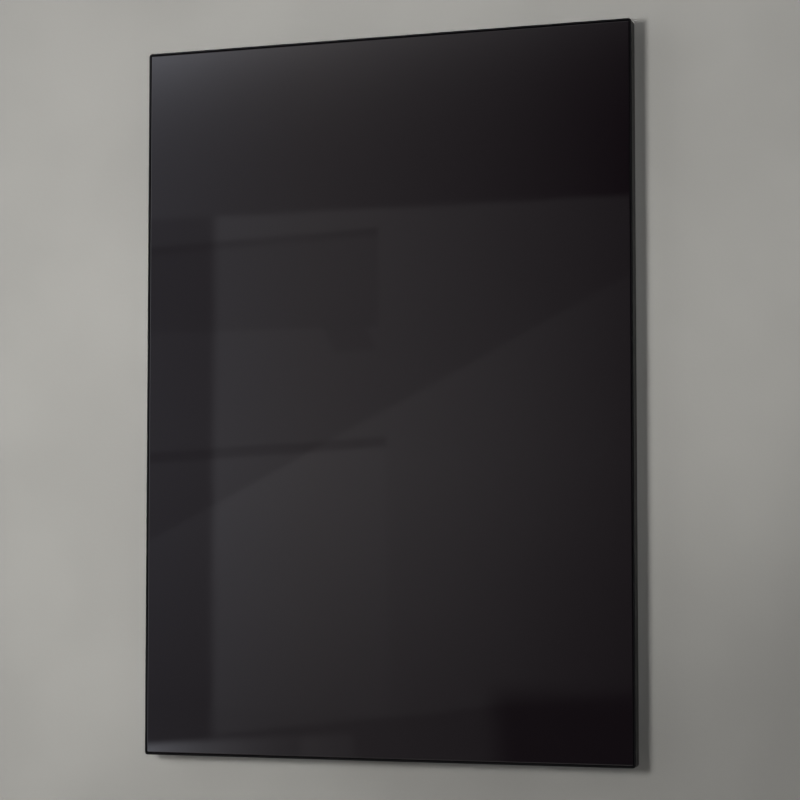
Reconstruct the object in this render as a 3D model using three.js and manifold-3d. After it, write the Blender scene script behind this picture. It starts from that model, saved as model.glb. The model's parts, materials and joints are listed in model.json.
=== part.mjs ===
// A frameless-looking black glass infrared panel heater, hung on a steel wall bracket.
//
// Lengths are millimetres. X runs along the panel's width, +Y points into the wall and +Z points up.
// The origin lies on the wall plane, behind the middle of the panel.
// Pieces of the panel are drawn in panel depth: y = 0 is the front of the frame's lip, +y goes back.
// Pieces in the gap behind it are drawn from the wall: y = 0 is the wall plane, -y comes forward.

import * as THREE from "three";
import { mergeVertices } from "three/addons/utils/BufferGeometryUtils.js";
import Module from "manifold-3d";

const wasm = await Module();
wasm.setup();

// ---------- Driving dimensions ----------

// Panel
const panelWidth = 630;
const panelHeight = 900;
const frameDepth = 21; // lip to the outside of the back plate
const wallGap = 19; // back plate to the wall
const fitGap = 0.3; // between pieces that only just clear each other

// Frame rail section
const lipWidth = 2; // outer wall of the rail, which shows as the black line round the glass
const lipRound = 0.7;
const cornerRadius = 4;
const ledgeReach = 14; // outer face to the inner edge of the shelf that carries the glass
const ledgeThickness = 1.5;
const channelWidth = 8; // hollow that takes the corner keys
const channelDepth = 6;
const channelWall = 1.2;
const flangeReach = 15; // outer face to the inner edge of the rear flange
const flangeThickness = 1.6;
const mitreGap = 0.3;
const keyLeg = 42;

// Glass and what is bonded behind it
const glassThickness = 5;
const glassRecess = 0.3; // lip to glass face
const glassGap = 0.5; // lip to glass edge
const glassArris = 1.5; // rounded and polished edge
const bondThickness = 0.7;
const bondWidth = 8;
const filmInset = 2; // ledge to the film's edge
const carrierThickness = 0.5;
const trackThickness = 0.4;
const coverThickness = 0.5;
const reflectorThickness = 0.3;
const insulationInset = 2; // rear flange to the board's edge

// Heating track
const trackWidth = 20;
const trackPitch = 34;
const trackMargin = 10; // film edge to the track
const trackMiddleGap = 16; // between the left and the right half
const trackPad = 28; // square solder pad

// Back plate and its screws
const plateThickness = 1;
const plateGap = 0.4;
const plateScrewInset = 9; // outer face of the frame to the screw's axis
const plateScrewRadius = 1.5;
const plateScrewLength = 6;
const panHeadRadius = 3.2;
const panHeadHeight = 2;

// Hanging cleats
const bracketSheet = 2;
const railLength = 400;
const hangerLength = 340;
const upperSeatDrop = 180; // panel's upper edge to the rail edge that carries the panel
const lowerSeatRise = 200; // panel's lower edge to the lower rail's edge
const lowerSeatPlay = 1.5; // the lower rail only guides
const railReach = 11.5; // wall to the front of the rail's lip
const railLipHeight = 14;
const hangerLipDrop = 11;
const cleatPlay = 1; // rail lip to hanger lip
const railPlateHeight = 34;
const hangerPlateHeight = 28;
const spineWidth = 60;
const wallSlotLength = 16;
const wallSlotWidth = 6.5;
const wallSlotSpacing = 320;
const hangerRivetSpacing = 280;
const hangerRivetRise = 16; // seat to the rivets
const rivetRadius = 2.4;
const rivetHeadRadius = 4.6;
const rivetHeadHeight = 1.4;
const rivetBulbRadius = 3.4;
const rivetBulbLength = 3;

// Wall bumpers
const bumperInset = 50; // panel's side to the bumpers' middle
const bumperRise = 45; // panel's lower edge to the bumpers' middle
const bumperRadius = 9;
const bumperPegRadius = 3;
const bumperPegLength = 4;

// Connection box
const boxWidth = 104;
const boxHeight = 56;
const boxDepth = 17;
const serviceMargin = 4; // side of the box to the hole in the insulation
const serviceRise = 10; // how far that hole goes above the box
const boxWall = 1.8;
const boxRise = 14; // panel's lower edge to the underside of the box
const boxCorner = 4;
const lidBevel = 0.6;
const lidScrewInset = 6;
const lidScrewRadius = 1.2;
const lidScrewLength = 8;
const lidHeadRadius = 2.4;
const lidHeadHeight = 1.2;
const lidBossRadius = 3;
const boxScrewInset = 24; // side of the box to the screw
const boxScrewDrop = 8;
const boxScrewLength = 4.3;
const leadHoleMargin = 0.6;

// Cable gland
const glandRise = 12; // underside of the box to the gland's axis
const glandThread = 5;
const glandBore = 3.4;
const glandAcrossFlats = 12;
const glandFlange = 3.5;
const glandThreadLength = 5; // inside the box
const glandNeckLength = 6; // into the nut
const glandNutLength = 13;
const glandMouth = 3.1;
const glandLocknutThickness = 3;

// Rocker switch
const switchInset = 18; // side of the box to the middle of the switch
const rockerHalfLength = 5.4;
const rockerWidth = 6;
const rockerTip = 3.2; // pivot to the end of the touch face
const rockerDish = 1; // how far the middle of the touch face sits in
const rockerHub = 2;
const rockerTilt = 10; // degrees to each side
const rockerPinRadius = 0.7;
const rockerPinLength = 0.5;
const bezelRim = 1.3;
const bezelThickness = 1.6;
const switchCheek = 0.8;
const switchPivotDepth = 2; // bezel face to the pivot
const switchBodyDepth = 11;
const bladeWidth = 3;
const bladeThickness = 0.8;
const bladeLength = 5;
const bladeOffset = 4;

// Terminal block, thermal cut-outs, earth stud and leads
const blockWidth = 32;
const blockHeight = 16;
const blockDepth = 12;
const blockDrop = 7; // top wall of the box to the block
const poleRadius = 1.9;
const poleScrewRadius = 1.6;
const cutoutRadius = 8;
const cutoutCupHeight = 4;
const cutoutBodyRadius = 7;
const cutoutBodyHeight = 5.5;
const cutoutSpacing = 48;
const cutoutDrop = 6; // top of the box to the cut-outs' middle
const cutoutBlade = 4;
const earthInset = 12; // side of the box to the stud
const earthLoopDrop = 6; // terminal block to the earth lead's run
const earthDrop = 14; // top of the box to the stud
const earthStudRadius = 2;
const earthStudLength = 9;
const earthNutAcrossFlats = 7;
const earthNutHeight = 3.2;
const earthLugRadius = 4.6;
const earthLugThickness = 1.2;
const liveLeadDrop = 24; // top of the box to the hole for the switched lead
const liveLeadInset = 9; // side of the box to that hole
const leadSpace = 5; // between leads that run side by side
const leadRadius = 1.1;
const leadSides = 7;
const leadStep = 2;

// ---------- Places worked out from them ----------

const toWall = frameDepth + wallGap; // front lip to the wall
const glassBack = glassRecess + glassThickness;
const ledgeFront = glassBack + bondThickness;
const ledgeBack = ledgeFront + ledgeThickness;
const channelBack = ledgeBack + channelDepth;
const plateFront = frameDepth - plateThickness;
const flangeFront = plateFront - flangeThickness;
const carrierBack = glassBack + carrierThickness;
const trackBack = carrierBack + trackThickness;
const coverBack = trackBack + coverThickness;
const reflectorBack = coverBack + reflectorThickness;
const filmWidth = panelWidth - 2 * (ledgeReach + filmInset);
const filmHeight = panelHeight - 2 * (ledgeReach + filmInset);
const boardEdge = Math.max(flangeReach, ledgeReach) + insulationInset;
const boardWidth = panelWidth - 2 * boardEdge;
const boardHeight = panelHeight - 2 * boardEdge;

const panelBottom = -panelHeight / 2;
const upperSeat = panelHeight / 2 - upperSeatDrop;
const lowerSeat = panelBottom + lowerSeatRise;
const boxBottom = panelBottom + boxRise;
const boxTop = boxBottom + boxHeight;
const boxMiddle = (boxBottom + boxTop) / 2;
const boxFront = -wallGap; // wall frame
const boxBack = boxFront + boxDepth;
const boxAxis = (boxFront + boxBack) / 2;
const lidFront = boxBack - boxWall;
const boxFloor = boxFront + boxWall;

const hangerLipBack = -railReach + bracketSheet + cleatPlay + bracketSheet;
const serviceX = boxWidth / 2 - serviceMargin;
const serviceBottom = -filmHeight / 2 + trackMargin - serviceMargin;
const serviceTop = boxTop + serviceRise;
const padX = (trackMiddleGap + trackPad) / 2;
const padZ = -filmHeight / 2 + trackMargin + trackPad / 2;
const solderZ = padZ - trackPad / 5;
const cutoutX = cutoutSpacing / 2;
const cutoutZ = boxTop - cutoutDrop;
const earthPlace = [-boxWidth / 2 + earthInset, boxTop - earthDrop];
const lidScrews = [
  [-boxWidth / 2 + lidScrewInset, boxTop - lidScrewInset],
  [boxWidth / 2 - lidScrewInset, boxBottom + lidScrewInset],
];
const liveLeadX = boxWidth / 2 - liveLeadInset;
const liveLeadZ = boxTop - liveLeadDrop;
const bumperZ = panelBottom + bumperRise;
const switchX = boxWidth / 2 - switchInset;
const housingX = rockerHalfLength + 0.9 + switchCheek;
const housingY = rockerWidth / 2 + fitGap + switchCheek;
const switchTop = boxBottom + switchBodyDepth;
const pivotZ = boxBottom - bezelThickness + switchPivotDepth;
const wellHeight = rockerHub + 1.4;
const glandZ = boxBottom + glandRise;
const blockBottom = boxTop - boxWall - blockDrop - blockHeight;
const poles = [-1, 0, 1].map((i) => (i * blockWidth) / 3);
const poleY = boxAxis;

// ---------- Materials ----------

function finish(colour, roughness, metalness = 0) {
  return new THREE.MeshStandardMaterial({ color: colour, roughness, metalness });
}

const blackGlass = finish(0x0c0b0d, 0.05);
const blackCoat = finish(0x17161a, 0.45, 0.2);
const zincSteel = finish(0x9a9da0, 0.4, 0.9);
const brightScrew = finish(0xb5b6b8, 0.3, 1);
const rubberBlack = finish(0x1b1b1c, 0.85);
const boxPlastic = finish(0x222225, 0.6);
const switchPlastic = finish(0x0f0f10, 0.35);
const ceramicWhite = finish(0xdcd8cf, 0.5);
const mica = finish(0xb9a57c, 0.5);
const trackFoil = finish(0x6e6a66, 0.35, 0.9);
const aluminiumFoil = finish(0xd0d2d4, 0.25, 1);
const fibreBoard = finish(0xd8d2b4, 0.95);
const castZinc = finish(0x8c8e90, 0.5, 0.8);
const siliconeBrown = finish(0x6b2b1c, 0.6);
const siliconeBlue = finish(0x24467a, 0.6);
const siliconeGreen = finish(0x6f8a2a, 0.6);

// ---------- Geometry helpers ----------

function solidOf(geometry) {
  const bare = geometry.index ? geometry.toNonIndexed() : geometry.clone();
  for (const name of ["normal", "uv"]) bare.deleteAttribute(name);
  const merged = mergeVertices(bare, 1e-4);
  return new wasm.Manifold(
    new wasm.Mesh({
      numProp: 3,
      vertProperties: merged.attributes.position.array,
      triVerts: new Uint32Array(merged.index.array),
    }),
  );
}

function geometryOf(solid) {
  const mesh = solid.getMesh();
  const corners = new Float32Array(mesh.numVert * 3);
  for (let i = 0; i < mesh.numVert; i++) {
    corners.set(mesh.vertProperties.subarray(i * mesh.numProp, i * mesh.numProp + 3), i * 3);
  }
  const geometry = new THREE.BufferGeometry();
  geometry.setAttribute("position", new THREE.BufferAttribute(corners, 3));
  geometry.setIndex(new THREE.BufferAttribute(mesh.triVerts, 1));
  const flat = geometry.toNonIndexed();
  flat.computeVertexNormals();
  return flat;
}

function cut(geometry, ...cutters) {
  return geometryOf(cutters.reduce((solid, c) => solid.subtract(solidOf(c)), solidOf(geometry)));
}

function join(...geometries) {
  return geometryOf(geometries.map(solidOf).reduce((a, b) => a.add(b)));
}

function common(...geometries) {
  return geometryOf(geometries.map(solidOf).reduce((a, b) => a.intersect(b)));
}

function block(x0, x1, y0, y1, z0, z1) {
  return new THREE.BoxGeometry(x1 - x0, y1 - y0, z1 - z0).translate(
    (x0 + x1) / 2,
    (y0 + y1) / 2,
    (z0 + z1) / 2,
  );
}

// A round rod along Y, or with axis "z" along Z, from one end to the other.
function rod(radius, from, to, [a, b], axis = "y", sides = 12) {
  const geometry = new THREE.CylinderGeometry(radius, radius, to - from, sides);
  if (axis === "z") return geometry.rotateX(Math.PI / 2).translate(a, b, (from + to) / 2);
  return geometry.translate(a, (from + to) / 2, b);
}

// A ring or turned piece whose outline is given as [radius, height] pairs, closed on itself.
function turned(outline, sides = 18) {
  const points = [...outline, outline[0]].map(([r, h]) => new THREE.Vector2(r, h));
  return new THREE.LatheGeometry(points, sides);
}

function polygon(points) {
  return new THREE.Shape(points.map(([a, b]) => new THREE.Vector2(a, b)));
}

function roundedRectangle(width, height, radius, x = 0, z = 0) {
  const [w, h] = [width / 2 - radius, height / 2 - radius];
  const shape = new THREE.Shape();
  shape.absarc(x + w, z + h, radius, 0, Math.PI / 2);
  shape.absarc(x - w, z + h, radius, Math.PI / 2, Math.PI);
  shape.absarc(x - w, z - h, radius, Math.PI, 1.5 * Math.PI);
  shape.absarc(x + w, z - h, radius, 1.5 * Math.PI, 2 * Math.PI);
  return shape;
}

// An outline in X and Z made thick from y0 to y1, with an optional bevel on both faces.
function sheet(outline, y0, y1, { bevel = 0, bevelSteps = 1, arcSteps = 5 } = {}) {
  const geometry = new THREE.ExtrudeGeometry(outline, {
    depth: y1 - y0 - 2 * bevel,
    curveSegments: arcSteps,
    bevelEnabled: bevel > 0,
    bevelThickness: bevel,
    bevelSize: bevel,
    bevelOffset: -bevel,
    bevelSegments: bevelSteps,
  });
  return geometry.rotateX(Math.PI / 2).translate(0, y1 - bevel, 0);
}

// A section in Y and Z run along X, centred.
function folded(section, length) {
  const geometry = new THREE.ExtrudeGeometry(section, { depth: length, bevelEnabled: false });
  const alongX = new THREE.Matrix4().makeBasis(
    new THREE.Vector3(0, 1, 0),
    new THREE.Vector3(0, 0, 1),
    new THREE.Vector3(1, 0, 0),
  );
  return geometry.applyMatrix4(alongX).translate(-length / 2, 0, 0);
}

function hexagonShape(acrossFlats, turn) {
  const radius = acrossFlats / Math.sqrt(3);
  const corners = [0, 1, 2, 3, 4, 5].map((i) => turn + (i * Math.PI) / 3);
  return polygon(corners.map((a) => [radius * Math.cos(a), radius * Math.sin(a)]));
}

const parts = new THREE.Group();
const panel = new THREE.Group();
const behindPanel = new THREE.Group();
panel.position.y = -toWall;
behindPanel.position.y = toWall;
panel.add(behindPanel);
parts.add(panel);

function place(group, name, geometry, material, position = [0, 0, 0], turn = 0) {
  const mesh = new THREE.Mesh(geometry, material);
  mesh.name = name;
  mesh.position.set(...position);
  mesh.rotation.y = turn;
  group.add(mesh);
  return mesh;
}

// ---------- Frame: four mitred rails and the keys in their corners ----------

// Where the back plate's screws stand: [x, z] in the panel.
const screwX = panelWidth / 2 - plateScrewInset;
const screwZ = panelHeight / 2 - plateScrewInset;
const plateScrews = [
  [-panelWidth / 4, screwZ],
  [panelWidth / 4, screwZ],
  [-panelWidth / 4, -screwZ],
  [panelWidth / 4, -screwZ],
  [-screwX, 0],
  [screwX, 0],
];

// The rail lies along X with its outer face at z = 0 and its inside towards -z.
function railGeometry(length, across) {
  const channelInner = lipWidth + channelWidth;
  const section = polygon([
    [0, 0],
    [frameDepth, 0],
    [frameDepth, -lipWidth],
    [plateFront, -lipWidth],
    [plateFront, -flangeReach],
    [flangeFront, -flangeReach],
    [flangeFront, -lipWidth],
    [channelBack + channelWall, -lipWidth],
    [channelBack + channelWall, -channelInner - channelWall],
    [ledgeBack, -channelInner - channelWall],
    [ledgeBack, -ledgeReach],
    [ledgeFront, -ledgeReach],
    [ledgeFront, -lipWidth],
    [0, -lipWidth],
  ]);
  section.holes.push(
    new THREE.Path(
      [
        [ledgeBack, -lipWidth],
        [ledgeBack, -channelInner],
        [channelBack, -channelInner],
        [channelBack, -lipWidth],
      ].map(([y, z]) => new THREE.Vector2(y, z)),
    ),
  );
  const outline = roundedRectangle(length, across, cornerRadius, 0, -across / 2);
  const envelope = sheet(outline, 0, frameDepth + 2 * lipRound, { bevel: lipRound, bevelSteps: 3 });
  const reach = 2 * Math.max(ledgeReach, flangeReach);
  const end = length / 2 - mitreGap / Math.SQRT2;
  const wedge = polygon([
    [-end - 1, 1],
    [-end + reach, -reach],
    [end - reach, -reach],
    [end + 1, 1],
  ]);
  return common(folded(section, length), envelope, sheet(wedge, -1, frameDepth + 1));
}

const rails = [
  ["top", 0, panelWidth, panelHeight],
  ["right", Math.PI / 2, panelHeight, panelWidth],
  ["bottom", Math.PI, panelWidth, panelHeight],
  ["left", -Math.PI / 2, panelHeight, panelWidth],
];
for (const [side, turn, length, across] of rails) {
  const up = new THREE.Vector3(0, 0, 1).applyAxisAngle(new THREE.Vector3(0, 1, 0), turn);
  const position = [(up.x * across) / 2, 0, (up.z * across) / 2];
  const toRail = new THREE.Matrix4().makeRotationY(turn).setPosition(...position).invert();
  const holes = plateScrews
    .map(([x, z]) => new THREE.Vector3(x, 0, z).applyMatrix4(toRail))
    .filter((p) => Math.abs(p.z + plateScrewInset) < 1e-6)
    .map((p) => rod(plateScrewRadius + fitGap, flangeFront - 1, plateFront + 1, [p.x, p.z]));
  const rail = cut(railGeometry(length, across), ...holes);
  place(panel, `frame_rail_${side}`, rail, blackCoat, position, turn);
}

// A key is an L whose legs fill the hollow of both rails that meet in its corner.
function cornerKey(xSide, zSide) {
  const outer = lipWidth + fitGap;
  const inner = lipWidth + channelWidth - fitGap;
  const legs = polygon([
    [outer, outer],
    [keyLeg, outer],
    [keyLeg, inner],
    [inner, inner],
    [inner, keyLeg],
    [outer, keyLeg],
  ]);
  const geometry = sheet(legs, ledgeBack + fitGap, channelBack - fitGap);
  const mirrored = geometryOf(
    solidOf(geometry).transform([-xSide, 0, 0, 0, 0, 1, 0, 0, 0, 0, -zSide, 0, 0, 0, 0, 1]),
  );
  return mirrored.translate((xSide * panelWidth) / 2, 0, (zSide * panelHeight) / 2);
}

for (const [row, zSide] of [["top", 1], ["bottom", -1]]) {
  for (const [column, xSide] of [["left", -1], ["right", 1]]) {
    place(panel, `corner_key_${row}_${column}`, cornerKey(xSide, zSide), castZinc);
  }
}

// ---------- Glass and the tape that bonds it to the ledges ----------

const glassInset = lipWidth + glassGap;
const glassCorner = Math.max(cornerRadius - glassInset, 1.5 * glassArris);
place(
  panel,
  "glass_pane",
  sheet(
    roundedRectangle(panelWidth - 2 * glassInset, panelHeight - 2 * glassInset, glassCorner),
    glassRecess,
    glassBack,
    { bevel: glassArris, bevelSteps: 3 },
  ),
  blackGlass,
);

const bondOuter = ledgeReach - bondWidth - 2;
for (const side of [-1, 1]) {
  const [x0, x1] = [-panelWidth / 2 + bondOuter, panelWidth / 2 - bondOuter];
  const z = side * (panelHeight / 2 - bondOuter - bondWidth / 2);
  const name = side > 0 ? "bond_tape_top" : "bond_tape_bottom";
  place(
    panel,
    name,
    block(x0, x1, glassBack, ledgeFront, z - bondWidth / 2, z + bondWidth / 2),
    rubberBlack,
  );
}
for (const side of [-1, 1]) {
  const x = side * (panelWidth / 2 - bondOuter - bondWidth / 2);
  const end = panelHeight / 2 - bondOuter - bondWidth - fitGap;
  const name = side > 0 ? "bond_tape_right" : "bond_tape_left";
  place(
    panel,
    name,
    block(x - bondWidth / 2, x + bondWidth / 2, glassBack, ledgeFront, -end, end),
    rubberBlack,
  );
}

// ---------- Heating film: carrier, resistance track and cover ----------

const filmOutline = roundedRectangle(filmWidth, filmHeight, cornerRadius);
place(panel, "film_carrier", sheet(filmOutline, glassBack, carrierBack), mica);

// The track climbs the right half in zigzags, crosses at the top and comes down the left half.
function trackCentreLine() {
  const inner = (trackMiddleGap + trackWidth) / 2;
  const outer = filmWidth / 2 - trackMargin - trackWidth / 2;
  const low = -filmHeight / 2 + trackMargin + trackWidth / 2;
  const rows = 2 * Math.floor(((2 * -low) / trackPitch - 1) / 2) + 1;
  const height = (row) => low + (row * 2 * -low) / rows;
  const right = [[padX, height(0)]];
  for (let row = 0; row < rows; row++) {
    const x = row % 2 ? inner : outer;
    right.push([x, height(row)], [x, height(row + 1)]);
  }
  const left = right.map(([x, z]) => [-x, z]).reverse();
  return [...right, ...left];
}

// The outline of a strip of even width along a line of square turns.
function stripOutline(line, width) {
  const points = line.map(([a, b]) => new THREE.Vector2(a, b));
  const sides = points.map((point, i) => {
    const into = point.clone().sub(points[i - 1] ?? point).normalize();
    const out = (points[i + 1] ?? point).clone().sub(point).normalize();
    const across = new THREE.Vector2();
    if (i > 0) across.add(new THREE.Vector2(-into.y, into.x));
    if (i < points.length - 1) across.add(new THREE.Vector2(-out.y, out.x));
    const turned = i > 0 && i < points.length - 1 && Math.abs(into.dot(out)) < 0.5;
    return across.multiplyScalar(turned || i === 0 || i === points.length - 1 ? 0.5 : 0.25);
  });
  const offset = (sign) => points.map((p, i) => p.clone().addScaledVector(sides[i], sign * width));
  return new THREE.Shape([...offset(1), ...offset(-1).reverse()]);
}

function trackPads() {
  return [-1, 1].map((side) => {
    const x = side * padX;
    const half = trackPad / 2;
    return block(x - half, x + half, carrierBack, trackBack, padZ - half, padZ + half);
  });
}

const trackShape = stripOutline(trackCentreLine(), trackWidth);
place(
  panel,
  "heating_track",
  join(sheet(trackShape, carrierBack, trackBack), ...trackPads()),
  trackFoil,
);

const padWindow = trackPad - 4;
const padHoles = [-1, 1].map((side) => {
  const [x, half] = [side * padX, padWindow / 2];
  return block(x - half, x + half, trackBack - 1, reflectorBack + 1, padZ - half, padZ + half);
});
place(
  panel,
  "film_cover",
  cut(sheet(filmOutline, trackBack, coverBack), ...padHoles),
  mica,
);
place(
  panel,
  "reflector_foil",
  cut(sheet(filmOutline, coverBack, reflectorBack), ...padHoles),
  aluminiumFoil,
);

// ---------- Insulation and back plate ----------

// Fixings that stand in the back plate: [x, z] in the panel.
const hangerRivets = [upperSeat, lowerSeat + lowerSeatPlay].flatMap((seat) =>
  [-1, 1].map((side) => [(side * hangerRivetSpacing) / 2, seat + hangerRivetRise]),
);
const bumperPlaces = [-1, 1].map((side) => [side * (panelWidth / 2 - bumperInset), bumperZ]);
const boxScrews = [-1, 1].map((side) => [
  side * (boxWidth / 2 - boxScrewInset),
  boxTop - boxScrewDrop,
]);
const leadHoles = [
  [-padX, solderZ],
  [liveLeadX, liveLeadZ],
];

const pockets = [
  ...hangerRivets.map((at) =>
    rod(rivetBulbRadius + 1, plateFront - rivetBulbLength - 1, frameDepth, at),
  ),
  ...bumperPlaces.map((at) =>
    rod(bumperPegRadius + 1, plateFront - bumperPegLength - 1, frameDepth, at),
  ),
];
place(
  panel,
  "insulation_board",
  cut(
    sheet(roundedRectangle(boardWidth, boardHeight, cornerRadius), reflectorBack, plateFront),
    block(-serviceX, serviceX, 0, frameDepth, serviceBottom, serviceTop),
    ...pockets,
  ),
  fibreBoard,
);

const plateInset = lipWidth + plateGap;
const plateOutline = roundedRectangle(
  panelWidth - 2 * plateInset,
  panelHeight - 2 * plateInset,
  Math.max(cornerRadius - plateInset, 1),
);
const plateHoles = [
  ...plateScrews.map((at) => [plateScrewRadius, at]),
  ...hangerRivets.map((at) => [rivetRadius, at]),
  ...bumperPlaces.map((at) => [bumperPegRadius, at]),
  ...boxScrews.map((at) => [plateScrewRadius, at]),
  ...leadHoles.map((at) => [leadRadius + leadHoleMargin, at]),
];
place(
  panel,
  "back_plate",
  cut(
    sheet(plateOutline, plateFront, frameDepth),
    ...plateHoles.map(([radius, at]) => rod(radius + fitGap, plateFront - 1, frameDepth + 1, at)),
  ),
  zincSteel,
);
place(
  panel,
  "earth_stud",
  rod(earthStudRadius, frameDepth, frameDepth + earthStudLength, earthPlace),
  brightScrew,
);

// A pan-head screw along Y whose head sits on the face at y = 0 and whose shank goes to -y.
function panHeadScrew(shankRadius, shankLength, headRadius, headHeight) {
  const outline = [
    [0, -shankLength],
    [shankRadius * 0.6, -shankLength],
    [shankRadius, -shankLength + shankRadius],
    [shankRadius, 0],
    [headRadius, 0],
    [headRadius, headHeight * 0.5],
    [headRadius * 0.7, headHeight],
    [0, headHeight],
  ];
  const slot = headRadius * 0.16;
  const reach = headRadius * 0.55;
  return cut(
    turned(outline, 12),
    block(-reach, reach, headHeight * 0.45, headHeight + 1, -slot, slot),
    block(-slot, slot, headHeight * 0.45, headHeight + 1, -reach, reach),
  );
}

plateScrews.forEach(([x, z], i) => {
  const screw = panHeadScrew(plateScrewRadius, plateScrewLength, panHeadRadius, panHeadHeight);
  place(panel, `plate_screw_${i + 1}`, screw, brightScrew, [x, frameDepth, z]);
});

// ---------- Hanging: two hangers on the panel, two rails and a spine on the wall ----------

function hangerGeometry(seat) {
  const section = polygon([
    [-wallGap, seat],
    [hangerLipBack - bracketSheet, seat],
    [hangerLipBack - bracketSheet, seat - hangerLipDrop],
    [hangerLipBack, seat - hangerLipDrop],
    [hangerLipBack, seat + bracketSheet],
    [-wallGap + bracketSheet, seat + bracketSheet],
    [-wallGap + bracketSheet, seat + hangerPlateHeight],
    [-wallGap, seat + hangerPlateHeight],
  ]);
  const holes = hangerRivets.map(([x]) =>
    rod(rivetRadius + fitGap, -wallGap - 1, -wallGap + bracketSheet + 1, [x, seat + hangerRivetRise]),
  );
  return cut(folded(section, hangerLength), ...holes);
}

function wallRailGeometry(seat) {
  const web = seat - railLipHeight;
  const section = polygon([
    [0, web - railPlateHeight],
    [0, web],
    [-railReach + bracketSheet, web],
    [-railReach + bracketSheet, seat],
    [-railReach, seat],
    [-railReach, web - bracketSheet],
    [-bracketSheet, web - bracketSheet],
    [-bracketSheet, web - railPlateHeight],
  ]);
  const slotZ = web - railPlateHeight / 2 - bracketSheet / 2;
  const slots = [-1, 1].map((side) =>
    sheet(
      roundedRectangle(
        wallSlotLength,
        wallSlotWidth,
        wallSlotWidth / 2 - 0.01,
        (side * wallSlotSpacing) / 2,
        slotZ,
      ),
      -bracketSheet - 1,
      1,
    ),
  );
  return cut(folded(section, railLength), ...slots);
}

function rivetGeometry() {
  const grip = bracketSheet + plateThickness;
  return turned(
    [
      [0, -grip - rivetBulbLength],
      [rivetBulbRadius * 0.7, -grip - rivetBulbLength],
      [rivetBulbRadius, -grip - rivetBulbLength / 2],
      [rivetBulbRadius, -grip],
      [rivetRadius, -grip],
      [rivetRadius, 0],
      [rivetHeadRadius, 0],
      [rivetHeadRadius * 0.75, rivetHeadHeight * 0.7],
      [rivetHeadRadius * 0.35, rivetHeadHeight],
      [0, rivetHeadHeight],
    ],
    12,
  );
}

place(behindPanel, "hanger_upper", hangerGeometry(upperSeat), zincSteel);
place(behindPanel, "hanger_lower", hangerGeometry(lowerSeat + lowerSeatPlay), zincSteel);
hangerRivets.forEach(([x, z], i) => {
  const y = -wallGap + bracketSheet;
  place(behindPanel, `hanger_rivet_${i + 1}`, rivetGeometry(), brightScrew, [x, y, z]);
});

place(parts, "wall_rail_upper", wallRailGeometry(upperSeat), zincSteel);
place(parts, "wall_rail_lower", wallRailGeometry(lowerSeat), zincSteel);
const spineTop = upperSeat - railLipHeight - railPlateHeight;
const spineBottom = lowerSeat - railLipHeight;
place(
  parts,
  "wall_spine",
  block(-spineWidth / 2, spineWidth / 2, -bracketSheet, 0, spineBottom, spineTop),
  zincSteel,
);

function bumperGeometry() {
  return turned(
    [
      [0, -wallGap - plateThickness - bumperPegLength],
      [bumperPegRadius * 0.6, -wallGap - plateThickness - bumperPegLength],
      [bumperPegRadius, -wallGap - plateThickness - bumperPegLength * 0.5],
      [bumperPegRadius, -wallGap],
      [bumperRadius, -wallGap],
      [bumperRadius * 0.82, -1],
      [bumperRadius * 0.82 - 1, 0],
      [0, 0],
    ],
    20,
  );
}

bumperPlaces.forEach(([x, z], i) => {
  const name = `wall_bumper_${i ? "right" : "left"}`;
  place(behindPanel, name, bumperGeometry(), rubberBlack, [x, 0, z]);
});

// ---------- Connection box ----------

function boxBase() {
  const inside = roundedRectangle(
    boxWidth - 2 * boxWall,
    boxHeight - 2 * boxWall,
    boxCorner - boxWall,
    0,
    boxMiddle,
  );
  const shell = cut(
    sheet(roundedRectangle(boxWidth, boxHeight, boxCorner, 0, boxMiddle), boxFront, lidFront),
    sheet(inside, boxFloor, lidFront + 1),
  );
  const bosses = lidScrews.map((at) => rod(lidBossRadius, boxFloor - 0.5, lidFront, at));
  const through = [...boxScrews.map((at) => [plateScrewRadius, at]), [earthStudRadius, earthPlace]]
    .concat(leadHoles.map((at) => [leadRadius + leadHoleMargin, at]))
    .map(([radius, at]) => rod(radius + fitGap, boxFront - 1, boxFloor + 1, at));
  const blind = lidScrews.map((at) =>
    rod(lidScrewRadius + fitGap, lidFront - lidScrewLength, lidFront + 1, at),
  );
  const switchHole = block(
    switchX - housingX - fitGap,
    switchX + housingX + fitGap,
    boxAxis - housingY - fitGap,
    boxAxis + housingY + fitGap,
    boxBottom - 1,
    boxBottom + boxWall + 1,
  );
  const glandHole = sideways(
    turned([[0, -boxWall - 1], [glandThread, -boxWall - 1], [glandThread, 1], [0, 1]]),
  );
  return cut(join(shell, ...bosses), ...through, ...blind, switchHole, glandHole);
}

// Turned about Y with heights outwards, laid so that it leaves the box's left side along -X.
function sideways(geometry) {
  return geometry.rotateZ(Math.PI / 2).translate(-boxWidth / 2, boxAxis, glandZ);
}

function sidewaysHexagon(acrossFlats, from, to) {
  const prism = folded(hexagonShape(acrossFlats, Math.PI / 6), to - from);
  return prism.translate(-boxWidth / 2 - (from + to) / 2, boxAxis, glandZ);
}

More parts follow.
